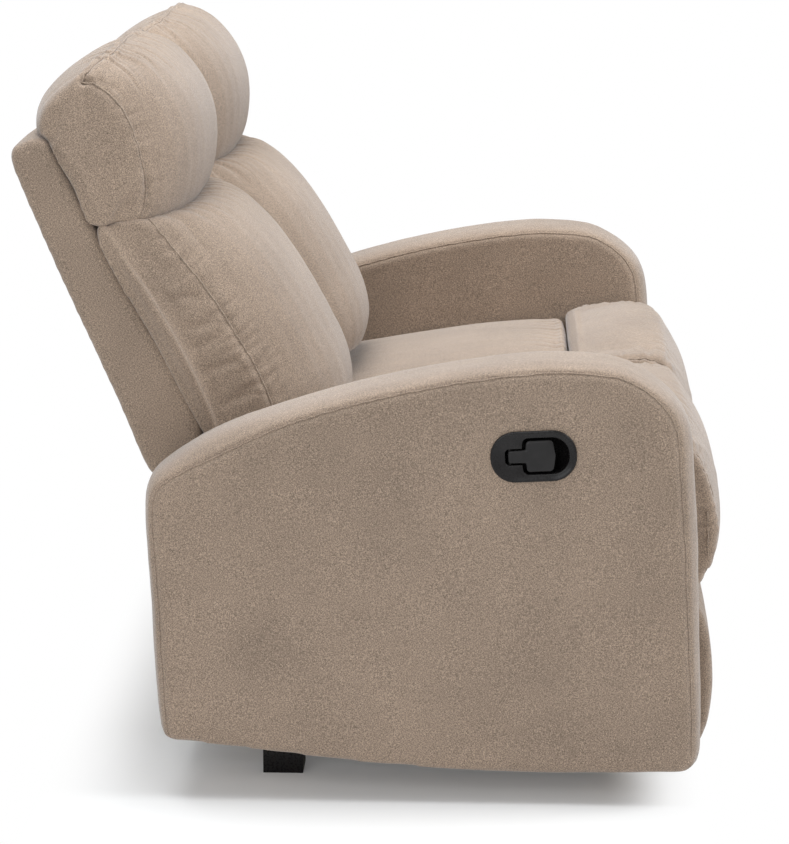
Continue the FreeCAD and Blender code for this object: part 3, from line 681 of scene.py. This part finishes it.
# Seats: a steel frame with five sinuous wires carries a crowned foam cushion. Its cover is
# pulled down to the frame and drawn in along both sides.
def sharing(half, count=8, power=3.5, taper=None, fullness=1.0, centre=-257):
    """Stations across a cushion, close together near its drawn-in sides. A fullness under 1
    keeps the crown high and drops it at the very sides."""
    rows = []
    for i in range(-count, count + 1):
        t = math.sin(i / count * math.pi / 2)
        share = 1 - max(0.0, 1 - abs(t) ** power) ** fullness
        if taper:
            rows.append((lambda y, z, t=t: centre + t * (half - taper(y, z)), share))
        else:
            rows.append((centre + t * half, share))
    return rows


def gather(obj, path, depth, reach, pitch, seed):
    """Fine pleats that run away from a seam and fade: narrow grooves across its length."""
    points = dense(path, 0.002)
    tree = KDTree(len(points))
    for index, point in enumerate(points):
        tree.insert(point, index)
    tree.balance()

    def shift(co):
        index, gap = tree.find(co)[1:]
        if gap > reach:
            return 0.0
        along = index * 0.002 / pitch
        drift = 0.6 * noise(Vector((along * 0.3, gap * 14, seed + 7)))
        wave = noise(Vector((along + drift, gap * 6, seed)))
        groove = (1 - min(1.0, abs(wave) * 2.4)) ** 2
        fine = 0.35 * noise(Vector((along * 2.3, gap * 12, seed + 3)))
        fade = (1 - gap / reach) ** 1.6 * min(1.0, 0.35 + gap / 0.012)
        return depth * fade * (0.3 + fine - groove)

    move_points(obj, shift)


def millimetres(points):
    return [Vector(point) * 0.001 for point in points]


fill_pressure, cover_shrink = 3.0, 0.03
most_moved, taken_back = 0.010, 0.7


def puff(obj, pins, limits):
    """Inflates a cover between its seams with the cloth solver, then caps each move and
    takes back most of what all points share, so that the cushion keeps its size."""
    mesh = obj.data
    before = [vert.co.copy() for vert in mesh.vertices]
    normals = [vert.normal.copy() for vert in mesh.vertices]
    held = obj.vertex_groups.new(name="held")
    tree = None
    points = [point for path in pins for point in dense(path, 0.004)]
    if points:
        tree = KDTree(len(points))
        for index, point in enumerate(points):
            tree.insert(point, index)
        tree.balance()
    holds = []
    for index, co in enumerate(before):
        weight = 0.0
        if tree:
            weight = max(0.0, 1 - tree.find(co)[2] / 0.009)
        weight = max(weight, limits(co))
        holds.append(weight)
        if weight > 0:
            held.add([index], min(1.0, weight), "REPLACE")
    modifier = obj.modifiers.new("filling", "CLOTH")
    cloth = modifier.settings
    cloth.quality = 5
    cloth.mass = 0.25
    cloth.tension_stiffness = 12
    cloth.compression_stiffness = 12
    cloth.shear_stiffness = 6
    cloth.bending_stiffness = 0.4
    cloth.use_pressure = True
    cloth.uniform_pressure_force = fill_pressure
    cloth.shrink_min = cover_shrink
    cloth.effector_weights.gravity = 0
    cloth.vertex_group_mass = "held"
    modifier.collision_settings.use_collision = False
    modifier.point_cache.frame_start = 1
    modifier.point_cache.frame_end = 20
    for number in range(1, 21):
        scene.frame_set(number)
    shaped = obj.evaluated_get(bpy.context.evaluated_depsgraph_get())
    after = [vert.co.copy() for vert in shaped.data.vertices]
    obj.modifiers.clear()
    obj.vertex_groups.clear()
    steps = [new - old for old, new in zip(before, after)]
    steps = [step * min(1.0, most_moved / max(step.length, 1e-9)) for step in steps]
    shared = sum(step.dot(normal) for step, normal in zip(steps, normals)) / len(steps)
    for vert, old, step, normal, hold in zip(mesh.vertices, before, steps, normals, holds):
        vert.co = old + step - normal * shared * taken_back * (1 - hold)
    mesh.update()
    scene.frame_set(1)
    return obj


seat_middle = [
    (-278, 372), (-287.5, 420), (-287.5, 460), (-282, 483), (-252, 492), (-150, 490),
    (-50, 473), (30, 460), (120, 441), (158, 431), (164, 416), (166, 396),
    (160, 372), (-60, 372)]
seat_side = [
    (-276, 372), (-286, 410), (-285, 444), (-278, 461), (-256, 465), (-150, 455),
    (-50, 442), (30, 428), (120, 413), (150, 407), (157, 398), (158, 386),
    (154, 372), (-60, 372)]


def seat_held(co):
    """Held under the cushion and where its front meets the knee roll."""
    return 1.0 if co.z < 0.385 else max(0.0, min(1.0, (-0.272 - co.y) / 0.010))


seat = remesh(crowned_form("seat_cover_near", seat_middle, seat_side,
                           sharing(252, power=2.2)), 0.0065)
seat_front = millimetres([(x, -272, 474) for x in range(-498, -10, 12)])
puff(seat, [], seat_held)
subdivide(seat)
gather(seat, seat_front, 0.0030, 0.080, 0.030, 11)
seat_far = opposite(seat, "seat_cover_far")
dress(seat, "base", 0.7, "seat_cushion_near")
dress(seat_far, "base", 0.7, "seat_cushion_far")
for word in SIDES:
    finish_node("seat_frame_" + word, enamel)
finish_node("seat_springs", spring_steel)


# Footrests: a plywood board carries a knee roll that fills the front of the seat and folds
# over the board's edge, with a flat-backed lower pad sewn below it.
roll_middle = [
    (-303, 455), (-292, 456), (-288.5, 468), (-289.5, 484), (-301, 497), (-350, 516),
    (-405, 523), (-446, 512), (-468, 480), (-486, 448), (-496, 412), (-504, 365),
    (-505.5, 330), (-501, 298), (-489, 278), (-482, 271), (-466, 265), (-448, 264),
    (-428, 264), (-428, 330), (-428, 406), (-418.5, 424), (-409, 442), (-356, 448.5)]
roll_side = [
    (-303, 455), (-296, 456), (-291, 460), (-291, 468), (-300, 477), (-350, 487),
    (-400, 490), (-438, 482), (-456, 460), (-467, 437), (-476, 412), (-484, 375),
    (-484, 340), (-478, 313), (-468, 293), (-462, 283), (-452, 275), (-444, 273),
    (-428, 273), (-428, 330), (-428, 406), (-418.5, 424), (-409, 442), (-356, 448.5)]
lower_middle = [
    (-428, 261), (-446, 261), (-460, 257), (-468, 246), (-475, 222), (-482, 170),
    (-486, 120), (-484, 70), (-475, 40), (-462, 29), (-450, 26), (-436, 27),
    (-428, 34), (-428, 140)]
lower_side = [
    (-428, 252), (-442, 252), (-454, 248), (-462, 238), (-470, 218), (-478, 168),
    (-479, 118), (-472, 70), (-462, 46), (-455, 37), (-446, 33), (-436, 33),
    (-428, 40), (-428, 140)]


def across_middle(path, centre=-0.257):
    """The same path on a cushion's other side."""
    return [Vector((2 * centre - point.x, point.y, point.z)) for point in path]


roll = remesh(crowned_form("knee_roll_cover_near", roll_middle, roll_side,
                           sharing(252, power=2.2)), 0.006)
roll_seam = millimetres([
    (-491, -300, 480), (-491, -350, 492), (-491, -405, 495), (-491, -438, 484),
    (-491, -452, 452), (-490, -461, 413.7), (-490, -465, 370), (-490, -466, 333.7),
    (-490, -464, 297), (-490, -458, 276)])
roll_seams = [roll_seam, across_middle(roll_seam)]


def roll_held(co):
    """Held against the board and where the roll meets the seat."""
    if co.y > -0.432 and co.z < 0.452 and co.z - 0.4 < (co.y + 0.43) * 0.9:
        return 1.0
    return max(0.0, min(1.0, (co.y + 0.310) / 0.012))


puff(roll, roll_seams, roll_held)
subdivide(roll)
press_lines(roll, [(path, 0.0042, 0.0050) for path in roll_seams])
for number, path in enumerate(roll_seams):
    gather(roll, path, 0.0032, 0.060, 0.016, 20 + number)
roll_fold = millimetres([(x, -455, 500 + 6 * math.sin(x / 60)) for x in range(-490, -20, 12)])
gather(roll, roll_fold, 0.0020, 0.070, 0.035, 24)
# dark tubes along the knee roll's seams: painted seam shade
lay_seam_shade(roll, roll_seams)
roll_far = opposite(roll, "knee_roll_cover_far")
dress(roll, "footrest_near", 0.8, "knee_roll_near")
dress(roll_far, "footrest_far", 0.8, "knee_roll_far")
lower = remesh(crowned_form("lower_pad_cover_near", lower_middle, lower_side,
                            sharing(252, power=2.2)), 0.0075)
lower_top = millimetres([(x, -466, 250) for x in range(-498, -10, 12)])
subdivide(lower)
gather(lower, lower_top, 0.0016, 0.060, 0.030, 31)
lower_far = opposite(lower, "lower_pad_cover_far")
dress(lower, "footrest_near", 0.7, "lower_pad_near")
dress(lower_far, "footrest_far", 0.7, "lower_pad_far")
for word in SIDES:
    finish_node("footrest_board_" + word, plywood)


# Backs: a pine ladder frame in a thin padded shell, on two steel brackets. A lumbar cushion
# and a head pillow are sewn to its front, each with a drawn-in gusset at both sides.
shell_middle = [
    (238, 490), (256, 455), (300, 424), (308, 423), (318, 430), (358, 527),
    (398, 620), (437, 710), (474, 800), (489, 838), (503, 880), (501, 890),
    (492, 896), (472, 904), (452, 906), (447, 903), (444, 898), (341.5, 695)]
shell_side = [
    (241, 492), (258, 458), (299, 427), (307, 426), (316, 432), (356, 527),
    (396, 620), (435, 710), (472, 800), (487, 838), (500, 878), (498, 887),
    (489, 893), (471, 901), (453, 903), (449, 900), (446, 896), (344, 695)]
pillow_middle = [
    (391, 785), (412, 832), (438, 883), (444, 906), (458, 914), (468, 912),
    (480, 911), (485, 930), (478, 954), (443, 990), (394, 1017), (348, 1026),
    (306, 1011), (267, 972), (246, 928), (240, 888), (243, 845), (250, 818),
    (266, 792), (325, 783)]
pillow_side = [
    (391, 785), (412, 832), (440, 885), (442, 900), (446, 906), (450, 908),
    (452, 914), (450, 926), (442, 944), (424, 963), (400, 977), (378, 973),
    (356, 955), (338, 917), (326, 882), (317, 855), (313, 833), (316, 807),
    (326, 785), (358, 780)]
lumbar_middle = [
    (250, 800), (228, 800), (200, 788), (152, 742), (112, 684), (72, 610),
    (46, 545), (40, 506), (45, 481), (51, 471), (63, 467), (120, 461),
    (186, 452), (215, 459), (238, 490), (300, 612), (381, 773), (352, 779),
    (320, 787), (284, 795)]
lumbar_side = [
    (317, 795), (306, 784), (291, 764), (248, 712), (213, 662), (180, 602),
    (148, 535), (143, 507), (147, 484), (153, 475), (165, 471), (180, 467),
    (200, 463), (222, 468), (242, 494), (304, 616), (384, 781), (364, 789),
    (348, 797), (332, 800)]


def gusset_lean(depth, most):
    """How far a cushion's side comes in towards its front seam."""
    def taper(y, z):
        ahead_of_shell = ((386 - y) * 0.9118 + (z - 787) * 0.4105)
        return most * min(1.0, max(0.0, ahead_of_shell / depth))
    return taper


shell = remesh(crowned_form("back_shell_cover_near", shell_middle, shell_side,
                            sharing(243)), 0.0088)
subdivide(shell)
pillow_side_seam = millimetres([(-482, y, z) for y, z in (
    (398, 978.4), (384.3, 977.1), (364.1, 963.5), (350.8, 947.2), (336.4, 917.2),
    (326.2, 881.5), (317.2, 855.4), (313.5, 833.3), (318.2, 806.9), (325.5, 794))])
pillow_top_seam = millimetres([
    (-482, 398, 978), (-477, 396, 991), (-460, 388, 1001), (-440, 380, 1007),
    (-415, 366, 1014), (-365, 360, 1021), (-285, 360, 1024), (-229, 360, 1024),
    (-149, 360, 1021), (-99, 366, 1014), (-74, 380, 1007), (-54, 388, 1001),
    (-37, 396, 991), (-32, 398, 978)])
lumbar_seam = millimetres([(-479, y, z) for y, z in (
    (313.7, 783), (298.7, 769), (273, 738.1), (244.4, 704.6), (222.6, 675.1),
    (203.5, 644.1), (185.8, 613), (166.6, 578.9), (152.9, 548.9), (142, 520), (146, 492))])
pillow_seams = [pillow_side_seam, across_middle(pillow_side_seam), pillow_top_seam]
lumbar_seams = [lumbar_seam, across_middle(lumbar_seam)]


def against_shell(co):
    """Held where a cushion lies against the shell's front, which slopes like the back."""
    return 1.0 if (co.y - 0.238) * 0.8927 - (co.z - 0.490) * 0.4507 > -0.010 \
        and co.z < 0.885 else 0.0


lumbar = remesh(crowned_form("lumbar_cover_near", lumbar_middle, lumbar_side,
                             sharing(249, power=3, taper=gusset_lean(130, 22),
                                     fullness=0.75)), 0.0064)
puff(lumbar, lumbar_seams, against_shell)
subdivide(lumbar)
dents = [millimetres(path) for path in (
    [(-492, 252, 639), (-492, 233, 645), (-492, 216, 658)],
    [(-492, 247, 612), (-492, 219, 626), (-492, 202, 641)],
    [(-492, 281, 679), (-492, 261, 684), (-492, 242, 683)],
    [(-492, 211, 532), (-492, 185, 543), (-492, 157, 566)],
    [(-492, 237, 577), (-492, 213, 586), (-492, 193, 592)],
)]
press_lines(lumbar, [(path, 0.0030, 0.0050) for path in lumbar_seams]
            + [(path, 0.0032, 0.0060) for path in dents])
lumbar_top = millimetres([(x, 262, 798) for x in range(-478, -30, 12)])
gather(lumbar, lumbar_top, 0.0048, 0.085, 0.024, 41)
for number, path in enumerate(lumbar_seams):
    gather(lumbar, path, 0.0030, 0.060, 0.022, 44 + number)
# dark tubes along the lumbar cushion's seams: painted seam shade
lay_seam_shade(lumbar, lumbar_seams, 0.0013)
pillow = remesh(crowned_form("head_pillow_cover_near", pillow_middle, pillow_side,
                             sharing(247, power=3, taper=gusset_lean(130, 22),
                                     fullness=0.6)), 0.006)
puff(pillow, pillow_seams, against_shell)
subdivide(pillow)
tuck = millimetres([(-478, 396, 979), (-478, 378, 981), (-478, 362, 973), (-478, 343, 959)])
press_lines(pillow, [(path, 0.0034, 0.0050) for path in pillow_seams]
            + [(tuck, 0.0016, 0.0045)])
gather(pillow, pillow_top_seam[3:-3], 0.0040, 0.115, 0.014, 51)
for number, path in enumerate(pillow_seams[:2]):
    gather(pillow, path, 0.0020, 0.050, 0.018, 54 + number)
# dark tubes along the head pillow's seams: painted seam shade
lay_seam_shade(pillow, pillow_seams, 0.0015)
for word in SIDES:
    for piece, name, node in ((shell, "back_shell_cover_", "back_shell_"),
                              (lumbar, "lumbar_cover_", "lumbar_cushion_"),
                              (pillow, "head_pillow_cover_", "head_pillow_")):
        if word == "far":
            piece = opposite(piece, name + word)
        dress(piece, "back_" + word, 0.7, node + word)
    finish_node("back_frame_" + word, pine)
